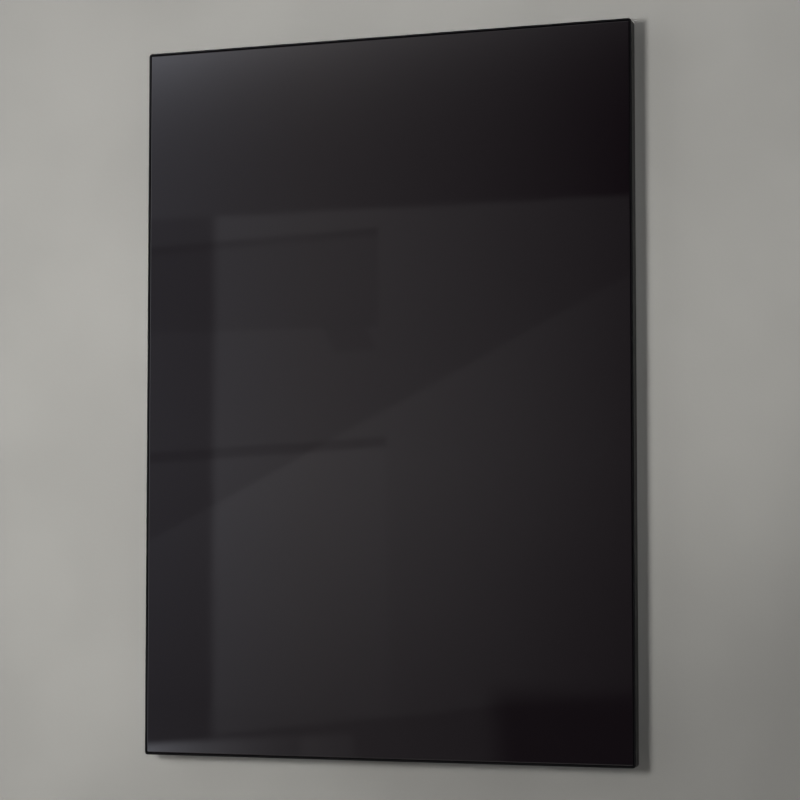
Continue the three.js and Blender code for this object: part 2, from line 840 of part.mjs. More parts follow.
place(behindPanel, "box_base", boxBase(), boxPlastic);
const lidOutline = roundedRectangle(boxWidth, boxHeight, boxCorner, 0, boxMiddle);
place(
  behindPanel,
  "box_lid",
  cut(
    sheet(lidOutline, lidFront, boxBack + lidBevel, { bevel: lidBevel }),
    block(-boxWidth, boxWidth, boxBack, boxBack + 2, boxBottom - 5, boxTop + 5),
    ...lidScrews.map((at) => rod(lidScrewRadius + fitGap, lidFront - 1, boxBack + 1, at)),
  ),
  boxPlastic,
);
lidScrews.forEach(([x, z], i) => {
  const length = boxWall + lidScrewLength - 1;
  const screw = panHeadScrew(lidScrewRadius, length, lidHeadRadius, lidHeadHeight);
  place(behindPanel, `lid_screw_${i + 1}`, screw, brightScrew, [x, boxBack, z]);
});
boxScrews.forEach(([x, z], i) => {
  const screw = panHeadScrew(plateScrewRadius, boxScrewLength, panHeadRadius, panHeadHeight);
  place(behindPanel, `box_screw_${i + 1}`, screw, brightScrew, [x, boxFloor, z]);
});

// ---------- Cable gland ----------

function glandBody() {
  const inner = -boxWall - glandThreadLength;
  const neck = glandFlange + glandNeckLength;
  const tube = sideways(
    turned([
      [glandBore, inner],
      [glandThread - fitGap, inner],
      [glandThread - fitGap, glandFlange / 2],
      [glandThread - fitGap, neck],
      [glandBore, neck],
    ]),
  );
  const drill = sideways(
    turned([[0, inner - 1], [glandBore, inner - 1], [glandBore, neck + 1], [0, neck + 1]]),
  );
  return join(tube, cut(sidewaysHexagon(glandAcrossFlats, 0, glandFlange), drill));
}

function glandNut() {
  const from = glandFlange + fitGap;
  const to = from + glandNutLength;
  const shoulder = to - 2.5;
  const outside = glandAcrossFlats / 2;
  const hexagonEnd = from + glandNutLength * 0.55;
  const hollow = sideways(
    turned([
      [0, from - 1],
      [glandThread, from - 1],
      [glandThread, shoulder],
      [glandMouth, to - 1],
      [glandMouth, to + 1],
      [0, to + 1],
    ]),
  );
  const dome = sideways(
    turned([
      [0, hexagonEnd - 1],
      [outside, hexagonEnd - 1],
      [outside, hexagonEnd],
      [outside * 0.93, hexagonEnd + (to - hexagonEnd) * 0.5],
      [outside * 0.72, to],
      [0, to],
    ]),
  );
  return cut(join(sidewaysHexagon(glandAcrossFlats, from, hexagonEnd), dome), hollow);
}

function glandSeal() {
  const from = glandFlange + glandNeckLength;
  const to = glandFlange + fitGap + glandNutLength - 2.5;
  return sideways(
    turned([
      [glandMouth, from],
      [glandThread - fitGap, from],
      [glandThread - fitGap, to - fitGap],
      [glandMouth, to - fitGap],
    ]),
  );
}

function glandLocknut() {
  const from = -boxWall - glandLocknutThickness;
  const hole = sideways(
    turned([[0, from - 1], [glandThread, from - 1], [glandThread, 1], [0, 1]]),
  );
  return cut(sidewaysHexagon(glandAcrossFlats, from, -boxWall), hole);
}

place(behindPanel, "gland_body", glandBody(), boxPlastic);
place(behindPanel, "gland_nut", glandNut(), boxPlastic);
place(behindPanel, "gland_seal", glandSeal(), rubberBlack);
place(behindPanel, "gland_locknut", glandLocknut(), boxPlastic);

// ---------- Rocker switch in the underside of the box ----------

// Drawn round the pivot, with the touch face towards -z.
function rockerGeometry() {
  const side = polygon([
    [-rockerHalfLength, -rockerTip],
    [0, -rockerTip + rockerDish],
    [rockerHalfLength, -rockerTip],
    [rockerHalfLength - 0.8, 0.5],
    [rockerHub, rockerHub],
    [-rockerHub, rockerHub],
    [-rockerHalfLength + 0.8, 0.5],
  ]);
  const half = rockerWidth / 2;
  const pin = rod(rockerPinRadius, -half - rockerPinLength, half + rockerPinLength, [0, 0]);
  return join(sheet(side, -half, half), pin);
}

function switchHousing() {
  const face = boxBottom - bezelThickness;
  const [x, y] = [switchX, boxAxis];
  const bezelX = housingX + bezelRim;
  const bezelY = housingY + bezelRim;
  const shell = join(
    block(x - bezelX, x + bezelX, y - bezelY, y + bezelY, face, boxBottom),
    block(x - housingX, x + housingX, y - housingY, y + housingY, face + 0.5, switchTop),
    ...[-1, 1].map((side) => {
      const bladeX = x + side * bladeOffset;
      return block(
        bladeX - bladeThickness / 2,
        bladeX + bladeThickness / 2,
        y - bladeWidth / 2,
        y + bladeWidth / 2,
        switchTop - 1,
        switchTop + bladeLength,
      );
    }),
  );
  const wellX = housingX - switchCheek;
  const wellY = housingY - switchCheek;
  const well = block(x - wellX, x + wellX, y - wellY, y + wellY, face - 1, pivotZ + wellHeight);
  const pinHoles = rod(rockerPinRadius + fitGap, y - housingY - 1, y + housingY + 1, [x, pivotZ]);
  return cut(shell, well, pinHoles);
}

place(behindPanel, "switch_housing", switchHousing(), switchPlastic);
place(
  behindPanel,
  "switch_rocker",
  rockerGeometry(),
  switchPlastic,
  [switchX, boxAxis, pivotZ],
  THREE.MathUtils.degToRad(rockerTilt),
);

// ---------- Terminal block, cut-outs, earth nut and leads ----------

function terminalBlock() {
  const body = block(
    -blockWidth / 2,
    blockWidth / 2,
    boxFloor,
    boxFloor + blockDepth,
    blockBottom,
    blockBottom + blockHeight,
  );
  const openings = poles.flatMap((x) => [
    rod(poleRadius, blockBottom + blockHeight * 0.4, blockBottom + blockHeight + 1, [x, poleY], "z"),
    rod(poleScrewRadius, poleY, boxFloor + blockDepth + 1, [x, blockBottom + blockHeight * 0.7]),
  ]);
  return cut(body, ...openings);
}

function cutoutGeometry() {
  const cup = rod(cutoutRadius, 0, cutoutCupHeight, [0, 0], "y", 20);
  const top = cutoutCupHeight + cutoutBodyHeight;
  const body = rod(cutoutBodyRadius, cutoutCupHeight - 0.5, top, [0, 0], "y", 20);
  const bladeEnd = cutoutRadius + cutoutBlade;
  const blade = block(-bladeEnd, bladeEnd, top - 1.5, top - 1.5 + bladeThickness, -2, 2);
  return join(cup, body, blade);
}

place(behindPanel, "terminal_block", terminalBlock(), ceramicWhite);
for (const side of [-1, 1]) {
  const name = `thermal_cutout_${side > 0 ? "right" : "left"}`;
  place(panel, name, cutoutGeometry(), ceramicWhite, [side * cutoutX, reflectorBack, cutoutZ]);
}

const earthLugOutline = [
  [earthStudRadius + fitGap, 0],
  [earthLugRadius, 0],
  [earthLugRadius, earthLugThickness],
  [earthStudRadius + fitGap, earthLugThickness],
];
const earthNutFace = boxFloor + earthLugThickness;
place(
  behindPanel,
  "earth_nut",
  cut(
    sheet(hexagonShape(earthNutAcrossFlats, 0), earthNutFace, earthNutFace + earthNutHeight),
    rod(earthStudRadius + fitGap, earthNutFace - 1, earthNutFace + earthNutHeight + 1, [0, 0]),
  ),
  brightScrew,
  [earthPlace[0], 0, earthPlace[1]],
);

// A round lead along a line of corners, each rounded off.
function leadGeometry(line, bend = 4) {
  const points = line.map((p) => new THREE.Vector3(...p));
  const path = new THREE.CurvePath();
  let from = points[0];
  for (let i = 1; i < points.length - 1; i++) {
    const corner = points[i];
    const [before, after] = [points[i - 1], points[i + 1]];
    const room = Math.min(corner.distanceTo(before), corner.distanceTo(after)) / 2;
    const reach = Math.min(bend, 0.9 * room);
    const start = corner.clone().lerp(before, reach / corner.distanceTo(before));
    const end = corner.clone().lerp(after, reach / corner.distanceTo(after));
    path.add(new THREE.LineCurve3(from, start));
    path.add(new THREE.QuadraticBezierCurve3(start, corner, end));
    from = end;
  }
  path.add(new THREE.LineCurve3(from, points.at(-1)));
  const round = Array.from({ length: leadSides }, (_, i) => (i * 2 * Math.PI) / leadSides);
  const circle = polygon(round.map((a) => [leadRadius * Math.cos(a), leadRadius * Math.sin(a)]));
  const steps = Math.ceil(path.getLength() / leadStep);
  return new THREE.ExtrudeGeometry(circle, { steps, extrudePath: path, bevelEnabled: false });
}

const padBack = trackBack - toWall;
const bladeY = reflectorBack + cutoutCupHeight + cutoutBodyHeight - 1.5 + bladeThickness / 2 - toWall;
const bladeReach = cutoutRadius + cutoutBlade;
const bladeTop = switchTop + bladeLength;
const earthLeadZ = blockBottom - earthLoopDrop;
const liveLoopZ = (blockBottom + bladeTop) / 2;
const earthLeadY = boxFloor + leadRadius + 0.1;
const leads = {
  lead_neutral: [
    [-padX, padBack, solderZ],
    [-padX, boxAxis, solderZ],
    [poles[1], boxAxis, solderZ],
    [poles[1], boxAxis, blockBottom],
  ],
  lead_live: [
    [poles[2], boxAxis, blockBottom],
    [poles[2], boxAxis, liveLoopZ],
    [switchX - bladeOffset, boxAxis, liveLoopZ],
    [switchX - bladeOffset, boxAxis, bladeTop],
  ],
  lead_switched: [
    [switchX + bladeOffset, boxAxis, bladeTop],
    [switchX + bladeOffset, boxAxis, liveLeadZ],
    [liveLeadX, boxAxis, liveLeadZ],
    [liveLeadX, bladeY, liveLeadZ],
    [liveLeadX, bladeY, cutoutZ],
    [cutoutX + bladeReach, bladeY, cutoutZ],
  ],
  lead_link: [
    [cutoutX - bladeReach, bladeY, cutoutZ],
    [-cutoutX + bladeReach, bladeY, cutoutZ],
  ],
  lead_track: [
    [-cutoutX - bladeReach, bladeY, cutoutZ],
    [-liveLeadX, bladeY, cutoutZ],
    [-liveLeadX, bladeY, liveLeadZ + leadSpace],
    [padX, bladeY, liveLeadZ + leadSpace],
    [padX, bladeY, solderZ],
    [padX, padBack, solderZ],
  ],
};
const leadFinish = {
  lead_neutral: siliconeBlue,
  lead_live: siliconeBrown,
  lead_switched: siliconeBrown,
  lead_link: siliconeBrown,
  lead_track: siliconeBrown,
};
for (const [name, line] of Object.entries(leads)) {
  place(behindPanel, name, leadGeometry(line), leadFinish[name]);
}
const earthLine = [
  [poles[0], boxAxis, blockBottom],
  [poles[0], boxAxis, earthLeadZ],
  [earthPlace[0], boxAxis, earthLeadZ],
  [earthPlace[0], earthLeadY, earthLeadZ],
  [earthPlace[0], earthLeadY, earthPlace[1] - earthLugRadius + 0.7],
];
const lug = turned(earthLugOutline, 16).translate(earthPlace[0], boxFloor, earthPlace[1]);
place(behindPanel, "lead_earth", join(leadGeometry(earthLine), lug), siliconeGreen);

export default parts;
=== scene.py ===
import json
import math
import bpy
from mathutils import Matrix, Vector


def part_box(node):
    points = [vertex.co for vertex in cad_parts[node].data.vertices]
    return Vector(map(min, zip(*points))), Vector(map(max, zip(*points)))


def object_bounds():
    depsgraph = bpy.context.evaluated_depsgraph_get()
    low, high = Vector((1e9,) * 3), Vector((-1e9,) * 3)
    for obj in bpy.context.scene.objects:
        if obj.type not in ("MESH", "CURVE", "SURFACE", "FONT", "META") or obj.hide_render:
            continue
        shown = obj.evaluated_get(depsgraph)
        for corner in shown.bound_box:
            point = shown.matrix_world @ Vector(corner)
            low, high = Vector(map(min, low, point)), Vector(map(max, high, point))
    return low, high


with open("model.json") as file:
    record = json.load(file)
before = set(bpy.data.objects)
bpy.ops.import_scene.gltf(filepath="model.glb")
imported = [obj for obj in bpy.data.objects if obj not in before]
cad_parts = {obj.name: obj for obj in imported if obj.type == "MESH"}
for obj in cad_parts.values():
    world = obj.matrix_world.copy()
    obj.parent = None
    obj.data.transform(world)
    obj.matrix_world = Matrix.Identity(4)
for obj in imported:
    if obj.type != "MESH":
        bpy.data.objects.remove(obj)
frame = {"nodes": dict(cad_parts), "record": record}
nodes = frame["nodes"]
cadLow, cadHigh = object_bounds()
print("heater loaded:", len(nodes), "pieces")


# Helpers for building node trees.

def setInput(tree, socket, value):
    if isinstance(value, bpy.types.NodeSocket):
        tree.links.new(value, socket)
    else:
        socket.default_value = value


def addNode(tree, kind, inputs=None, **settings):
    node = tree.nodes.new(kind)
    for name, value in settings.items():
        setattr(node, name, value)
    for name, value in (inputs or {}).items():
        setInput(tree, node.inputs[name], value)
    return node


def maths(tree, operation, first, second=0.0, clamp=False):
    node = addNode(tree, "ShaderNodeMath", {0: first, 1: second}, operation=operation, use_clamp=clamp)
    return node.outputs[0]


def product(tree, first, *others):
    for other in others:
        first = maths(tree, "MULTIPLY", first, other)
    return first


def mixColours(tree, amount, first, second):
    node = addNode(tree, "ShaderNodeMix", {"Factor": amount, 6: first, 7: second}, data_type="RGBA")
    return node.outputs[2]


def mixValues(tree, amount, first, second):
    node = addNode(tree, "ShaderNodeMix", {"Factor": amount, 2: first, 3: second}, data_type="FLOAT")
    return node.outputs[0]


def remap(tree, value, low, high, toLow=0.0, toHigh=1.0, smooth=False):
    node = addNode(
        tree, "ShaderNodeMapRange",
        {"Value": value, "From Min": low, "From Max": high, "To Min": toLow, "To Max": toHigh},
        interpolation_type="SMOOTHSTEP" if smooth else "LINEAR",
    )
    return node.outputs["Result"]


def newGroup(name, inputs, outputs):
    tree = bpy.data.node_groups.new(name, "ShaderNodeTree")
    kinds = {"value": "NodeSocketFloat", "colour": "NodeSocketColor"}
    for label, (kind, start) in inputs.items():
        socket = tree.interface.new_socket(label, in_out="INPUT", socket_type=kinds[kind])
        socket.default_value = start
    for label, kind in outputs.items():
        tree.interface.new_socket(label, in_out="OUTPUT", socket_type=kinds[kind])
    return tree, tree.nodes.new("NodeGroupInput"), tree.nodes.new("NodeGroupOutput")


def useGroup(tree, group, inputs):
    return addNode(tree, "ShaderNodeGroup", inputs, node_tree=group)


# The camera stands low, to the right of the panel.

camera = {
    "place": (0.7625, -2.4945, -0.2050),
    "turnDegrees": 16.752,
    "tiltDegrees": 3.116,
    "sensor": 36,
    "lens": 93.659,
    "shiftUp": 0.06,
    "clip": (0.05, 60),
}


def makeCamera(facts):
    data = bpy.data.cameras.new("camera")
    data.sensor_width = facts["sensor"]
    data.lens = facts["lens"]
    data.shift_y = facts["shiftUp"]
    data.clip_start, data.clip_end = facts["clip"]
    eye = bpy.data.objects.new("camera", data)
    eye.location = facts["place"]
    tilt = math.radians(90 + facts["tiltDegrees"])
    eye.rotation_euler = (tilt, 0, math.radians(facts["turnDegrees"]))
    bpy.context.scene.collection.objects.link(eye)
    bpy.context.scene.camera = eye


makeCamera(camera)
print("camera placed")


# Effects that several materials share. Sizes are in metres.

def makeGrain():  # a fine even texture: moulded, powder-coated or cast
    noiseRange = (0.2, 0.8)
    tree, given, result = newGroup(
        "fineGrain",
        {"Size": ("value", 0.001), "Low": ("value", 0.4), "High": ("value", 0.5)},
        {"Height": "value", "Roughness": "value"},
    )
    place = addNode(tree, "ShaderNodeTexCoord")
    scale = maths(tree, "DIVIDE", 1.0, given.outputs["Size"])
    noise = addNode(
        tree, "ShaderNodeTexNoise",
        {"Vector": place.outputs["Object"], "Scale": scale, "Detail": 3.0, "Roughness": 0.55},
    )
    height = noise.outputs["Fac"]
    level = remap(tree, height, *noiseRange, given.outputs["Low"], given.outputs["High"])
    setInput(tree, result.inputs["Height"], height)
    setInput(tree, result.inputs["Roughness"], level)
    return tree


def makePatches():  # slow, cloudy variation from place to place
    noiseRange = (0.32, 0.68)
    tree, given, result = newGroup(
        "slowPatches",
        {"Size": ("value", 0.1), "Seed": ("value", 0.0), "Low": ("value", 0.0), "High": ("value", 1.0)},
        {"Value": "value"},
    )
    place = addNode(tree, "ShaderNodeTexCoord")
    seed = given.outputs["Seed"]
    shift = addNode(tree, "ShaderNodeCombineXYZ", {"X": seed, "Y": seed})
    moved = addNode(
        tree, "ShaderNodeVectorMath", {0: place.outputs["Object"], 1: shift.outputs[0]}, operation="ADD"
    )
    scale = maths(tree, "DIVIDE", 1.0, given.outputs["Size"])
    noise = addNode(
        tree, "ShaderNodeTexNoise",
        {"Vector": moved.outputs[0], "Scale": scale, "Detail": 2.0, "Roughness": 0.5},
    )
    low, high = given.outputs["Low"], given.outputs["High"]
    level = remap(tree, noise.outputs["Fac"], *noiseRange, low, high, smooth=True)
    setInput(tree, result.inputs["Value"], level)
    return tree


def makeDust():  # a light film on faces that look up, thicker in patches
    upwardRange, noiseRange = (0.35, 0.95), (0.35, 0.75)
    tree, given, result = newGroup(
        "settledDust",
        {
            "Colour": ("colour", (0, 0, 0, 1)), "Dust": ("colour", (0.36, 0.34, 0.31, 1)),
            "Amount": ("value", 0.3),
        },
        {"Colour": "colour", "Mask": "value"},
    )
    shape = addNode(tree, "ShaderNodeNewGeometry")
    facing = addNode(tree, "ShaderNodeSeparateXYZ", {0: shape.outputs["Normal"]})
    upward = remap(tree, facing.outputs["Z"], *upwardRange, smooth=True)
    place = addNode(tree, "ShaderNodeTexCoord")
    noise = addNode(
        tree, "ShaderNodeTexNoise",
        {"Vector": place.outputs["Object"], "Scale": 90.0, "Detail": 6.0, "Roughness": 0.7},
    )
    patches = remap(tree, noise.outputs["Fac"], *noiseRange)
    settled = maths(tree, "MULTIPLY", upward, patches)
    mask = maths(tree, "MULTIPLY", settled, given.outputs["Amount"], clamp=True)
    dusty = mixColours(tree, mask, given.outputs["Colour"], given.outputs["Dust"])
    setInput(tree, result.inputs["Colour"], dusty)
    setInput(tree, result.inputs["Mask"], mask)
    return tree


spangle = {
    "bendsPerCrystal": 2.2,
    "bendReach": 0.45,  # as a share of a crystal
    "specksPerCrystal": 9.0,
    "crystalShare": 0.65,
    "speckShare": 0.35,
}


def makeSpangle(facts):  # the frost-like crystals of hot-dip zinc
    tree, given, result = newGroup(
        "zincSpangle",
        {
            "Size": ("value", 0.012), "Dark": ("colour", (0.3, 0.31, 0.32, 1)),
            "Light": ("colour", (0.6, 0.61, 0.62, 1)), "Low": ("value", 0.3), "High": ("value", 0.5),
        },
        {"Colour": "colour", "Roughness": "value", "Height": "value"},
    )
    place = addNode(tree, "ShaderNodeTexCoord").outputs["Object"]
    size = given.outputs["Size"]
    bendScale = maths(tree, "DIVIDE", facts["bendsPerCrystal"], size)
    bend = addNode(tree, "ShaderNodeTexNoise", {"Vector": place, "Scale": bendScale, "Detail": 3.0})
    reach = maths(tree, "MULTIPLY", size, facts["bendReach"])
    push = addNode(
        tree, "ShaderNodeVectorMath", {0: bend.outputs["Color"], "Scale": reach}, operation="SCALE"
    )
    moved = addNode(tree, "ShaderNodeVectorMath", {0: place, 1: push.outputs[0]}, operation="ADD")
    cellScale = maths(tree, "DIVIDE", 1.0, size)
    cells = addNode(
        tree, "ShaderNodeTexVoronoi", {"Vector": moved.outputs[0], "Scale": cellScale, "Randomness": 1.0}
    )
    tone = addNode(tree, "ShaderNodeSeparateColor", {0: cells.outputs["Color"]})
    speckScale = maths(tree, "DIVIDE", facts["specksPerCrystal"], size)
    specks = addNode(tree, "ShaderNodeTexNoise", {"Vector": place, "Scale": speckScale, "Detail": 4.0})
    fromCrystals = maths(tree, "MULTIPLY", tone.outputs[0], facts["crystalShare"])
    fromSpecks = maths(tree, "MULTIPLY", specks.outputs["Fac"], facts["speckShare"])
    mixed = maths(tree, "ADD", fromCrystals, fromSpecks)
    rough = remap(tree, tone.outputs[1], 0.0, 1.0, given.outputs["Low"], given.outputs["High"])
    colour = mixColours(tree, mixed, given.outputs["Dark"], given.outputs["Light"])
    setInput(tree, result.inputs["Colour"], colour)
    setInput(tree, result.inputs["Roughness"], rough)
    setInput(tree, result.inputs["Height"], mixed)
    return tree


fineGrain = makeGrain()
slowPatches = makePatches()
settledDust = makeDust()
zincSpangle = makeSpangle(spangle)
print("shared effects built")


# Materials, one for each finish.

def startMaterial(name, **fixed):
    material = bpy.data.materials.new(name)
    material.use_nodes = True
    tree = material.node_tree
    shader = tree.nodes["Principled BSDF"]
    for label, value in fixed.items():
        shader.inputs[label.replace("_", " ")].default_value = value
    return material, tree, shader


def addBump(tree, shader, height, depth, strength):
    bump = addNode(tree, "ShaderNodeBump", {"Height": height, "Distance": depth, "Strength": strength})
    setInput(tree, shader.inputs["Normal"], bump.outputs[0])


def grainyMaterial(name, facts):
    dustRoughens, bumpStrength = 0.4, 0.5
    material, tree, shader = startMaterial(
        name, Metallic=facts.get("metal", 0.0), Specular_IOR_Level=facts.get("specular", 0.5)
    )
    low, high = facts["rough"]
    grain = useGroup(tree, fineGrain, {"Size": facts["grain"], "Low": low, "High": high})
    patches = useGroup(tree, slowPatches, {"Size": facts["patch"]})
    colour = mixColours(tree, patches.outputs["Value"], (*facts["dark"], 1), (*facts["light"], 1))
    dust = useGroup(tree, settledDust, {"Colour": colour, "Amount": facts["dust"]})
    extra = maths(tree, "MULTIPLY", dust.outputs["Mask"], dustRoughens)
    rough = maths(tree, "ADD", grain.outputs["Roughness"], extra, clamp=True)
    setInput(tree, shader.inputs["Base Color"], dust.outputs["Colour"])
    setInput(tree, shader.inputs["Roughness"], rough)
    addBump(tree, shader, grain.outputs["Height"], facts["depth"], bumpStrength)
    return material


def zincMaterial(name, facts):
    bumpStrength = 0.35
    material, tree, shader = startMaterial(name, Metallic=facts["metal"])
    crystals = useGroup(
        tree, zincSpangle,
        {
            "Size": facts["crystal"], "Dark": (*facts["dark"], 1), "Light": (*facts["light"], 1),
            "Low": facts["rough"][0], "High": facts["rough"][1],
        },
    )
    dust = useGroup(tree, settledDust, {"Colour": crystals.outputs["Colour"], "Amount": facts["dust"]})
    setInput(tree, shader.inputs["Base Color"], dust.outputs["Colour"])
    setInput(tree, shader.inputs["Roughness"], crystals.outputs["Roughness"])
    addBump(tree, shader, crystals.outputs["Height"], facts["depth"], bumpStrength)
    return material


glassPane = {
    "body": (0.0058, 0.0034, 0.0050),
    "bodyLight": (0.0066, 0.0042, 0.0058),
    "bodyPatch": {"Size": 0.22, "Seed": 3.0},
    "arris": (0.0066, 0.0046, 0.0060),
    "arrisWidth": 0.0015,
    "arrisFade": (1.05, 0.9),  # where the edge's finish starts and is whole, as shares of its width
    "arrisRough": 0.11,
    "rough": (0.018, 0.034),
    "wipePatch": {"Size": 0.07, "Seed": 8.0},
    "wavePatch": {"Size": 0.16, "Seed": 1.0},
    "waveDepth": 0.00002,
    "ior": 1.52,
}


def nearEdge(tree, coordinate, low, high, facts):  # 1 on the rounded edge, 0 on the flat face
    offCentre = maths(tree, "ABSOLUTE", maths(tree, "SUBTRACT", coordinate, (low + high) / 2))
    half = (high - low) / 2
    start, whole = (half - facts["arrisWidth"] * share for share in facts["arrisFade"])
    return remap(tree, offCentre, start, whole)


def makeGlass(facts):
    material, tree, shader = startMaterial("blackGlass", IOR=facts["ior"])
    low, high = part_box("glass_pane")
    place = addNode(tree, "ShaderNodeTexCoord")
    spot = addNode(tree, "ShaderNodeSeparateXYZ", {0: place.outputs["Object"]})
    nearX = nearEdge(tree, spot.outputs["X"], low.x, high.x, facts)
    nearZ = nearEdge(tree, spot.outputs["Z"], low.z, high.z, facts)
    onArris = maths(tree, "MAXIMUM", nearX, nearZ)
    patches = useGroup(tree, slowPatches, facts["bodyPatch"])
    body = mixColours(tree, patches.outputs["Value"], (*facts["body"], 1), (*facts["bodyLight"], 1))
    colour = mixColours(tree, onArris, body, (*facts["arris"], 1))
    smoothest, roughest = facts["rough"]
    wiped = useGroup(tree, slowPatches, {**facts["wipePatch"], "Low": smoothest, "High": roughest})
    rough = mixValues(tree, onArris, wiped.outputs["Value"], facts["arrisRough"])
    waves = useGroup(tree, slowPatches, facts["wavePatch"])
    setInput(tree, shader.inputs["Base Color"], colour)
    setInput(tree, shader.inputs["Roughness"], rough)
    addBump(tree, shader, waves.outputs["Value"], facts["waveDepth"], 1.0)
    return material


finishes = {
    "black_coat": ("grainy", {
        "dark": (0.0024, 0.0022, 0.0027), "light": (0.0036, 0.0034, 0.0040), "rough": (0.34, 0.46),
        "specular": 0.16, "grain": 0.0006, "depth": 0.00003, "patch": 0.08, "dust": 0.04,
    }),
    "zinc_steel": ("zinc", {
        "metal": 0.85, "dark": (0.27, 0.28, 0.295), "light": (0.47, 0.485, 0.50), "rough": (0.3, 0.52),
        "crystal": 0.007, "depth": 0.00002, "dust": 0.25,
    }),
    "bright_zinc": ("zinc", {
        "metal": 0.9, "dark": (0.55, 0.56, 0.56), "light": (0.70, 0.71, 0.70), "rough": (0.24, 0.36),
        "crystal": 0.0022, "depth": 0.00001, "dust": 0.2,
    }),
    "bright_screw": ("grainy", {
        "metal": 1.0, "dark": (0.48, 0.49, 0.50), "light": (0.66, 0.67, 0.68), "rough": (0.22, 0.4),
        "grain": 0.0004, "depth": 0.00001, "patch": 0.004, "dust": 0.1,
    }),
    "black_rubber": ("grainy", {
        "dark": (0.014, 0.014, 0.015), "light": (0.024, 0.024, 0.024), "rough": (0.72, 0.9),
        "grain": 0.0005, "depth": 0.00004, "patch": 0.01, "dust": 0.3,
    }),
    "box_plastic": ("grainy", {
        "dark": (0.018, 0.018, 0.020), "light": (0.026, 0.026, 0.028), "rough": (0.5, 0.68),
        "grain": 0.00045, "depth": 0.00005, "patch": 0.03, "dust": 0.2,
    }),
    "switch_plastic": ("grainy", {
        "dark": (0.009, 0.009, 0.010), "light": (0.012, 0.012, 0.013), "rough": (0.2, 0.3),
        "grain": 0.001, "depth": 0.00001, "patch": 0.01, "dust": 0.05,
    }),
    "white_ceramic": ("grainy", {
        "dark": (0.62, 0.59, 0.53), "light": (0.72, 0.69, 0.63), "rough": (0.4, 0.6),
        "grain": 0.0006, "depth": 0.00003, "patch": 0.01, "dust": 0.15,
    }),
    "mica": ("grainy", {
        "dark": (0.36, 0.28, 0.16), "light": (0.52, 0.41, 0.25), "rough": (0.35, 0.6),
        "grain": 0.002, "depth": 0.00003, "patch": 0.03, "dust": 0.15,
    }),
    "track_foil": ("grainy", {
        "metal": 0.9, "dark": (0.26, 0.24, 0.22), "light": (0.36, 0.34, 0.31), "rough": (0.3, 0.5),
        "grain": 0.002, "depth": 0.00001, "patch": 0.05, "dust": 0.15,
    }),
    "aluminium_foil": ("grainy", {
        "metal": 1.0, "dark": (0.72, 0.73, 0.74), "light": (0.85, 0.86, 0.87), "rough": (0.15, 0.35),
        "grain": 0.006, "depth": 0.0001, "patch": 0.03, "dust": 0.15,
    }),
    "fibre_board": ("grainy", {
        "dark": (0.56, 0.50, 0.34), "light": (0.74, 0.68, 0.50), "rough": (0.85, 0.98),
        "grain": 0.0012, "depth": 0.0003, "patch": 0.02, "dust": 0.15,
    }),
    "cast_zinc": ("grainy", {
        "metal": 0.9, "dark": (0.36, 0.37, 0.38), "light": (0.46, 0.47, 0.48), "rough": (0.4, 0.6),
        "grain": 0.0008, "depth": 0.00004, "patch": 0.01, "dust": 0.15,
    }),
    "silicone_brown": ("grainy", {
        "dark": (0.12, 0.028, 0.016), "light": (0.17, 0.042, 0.025), "rough": (0.5, 0.65),
        "grain": 0.0006, "depth": 0.00001, "patch": 0.01, "dust": 0.15,
    }),
    "silicone_blue": ("grainy", {
        "dark": (0.016, 0.05, 0.17), "light": (0.026, 0.075, 0.24), "rough": (0.5, 0.65),
        "grain": 0.0006, "depth": 0.00001, "patch": 0.01, "dust": 0.15,
    }),
    "silicone_green": ("grainy", {
        "dark": (0.12, 0.22, 0.02), "light": (0.30, 0.32, 0.03), "rough": (0.5, 0.65),
        "grain": 0.0006, "depth": 0.00001, "patch": 0.01, "dust": 0.15,
    }),
}

makers = {"grainy": grainyMaterial, "zinc": zincMaterial}
materials = {name: makers[kind](name, facts) for name, (kind, facts) in finishes.items()}
materials["black_glass"] = makeGlass(glassPane)

brightParts = ("wall_rail", "wall_spine", "hanger_upper", "hanger_lower")
for part in frame["record"]["subparts"]:
    piece = nodes[part["node"]]
    finish = "bright_zinc" if part["node"].startswith(brightParts) else part["material_slot"]
    piece.data.materials.clear()
    piece.data.materials.append(materials[finish])
print("materials given to", len(nodes), "pieces")


# Edge widths in metres, by the start of a piece's name.

edges = {
    "frame_rail": 0.00022, "back_plate": 0.00025, "hanger_upper": 0.0005, "hanger_lower": 0.0005,
    "wall_rail": 0.0005, "wall_spine": 0.0004, "box_base": 0.0005, "box_lid": 0.0004,
    "gland": 0.0003, "switch": 0.0003, "lid_screw": 0.00015, "plate_screw": 0.00015,
}
edgeWork = {"weldWithin": 2e-6, "crispDegrees": 33, "bevelDegrees": 40, "segments": 2, "flatWeight": 90}


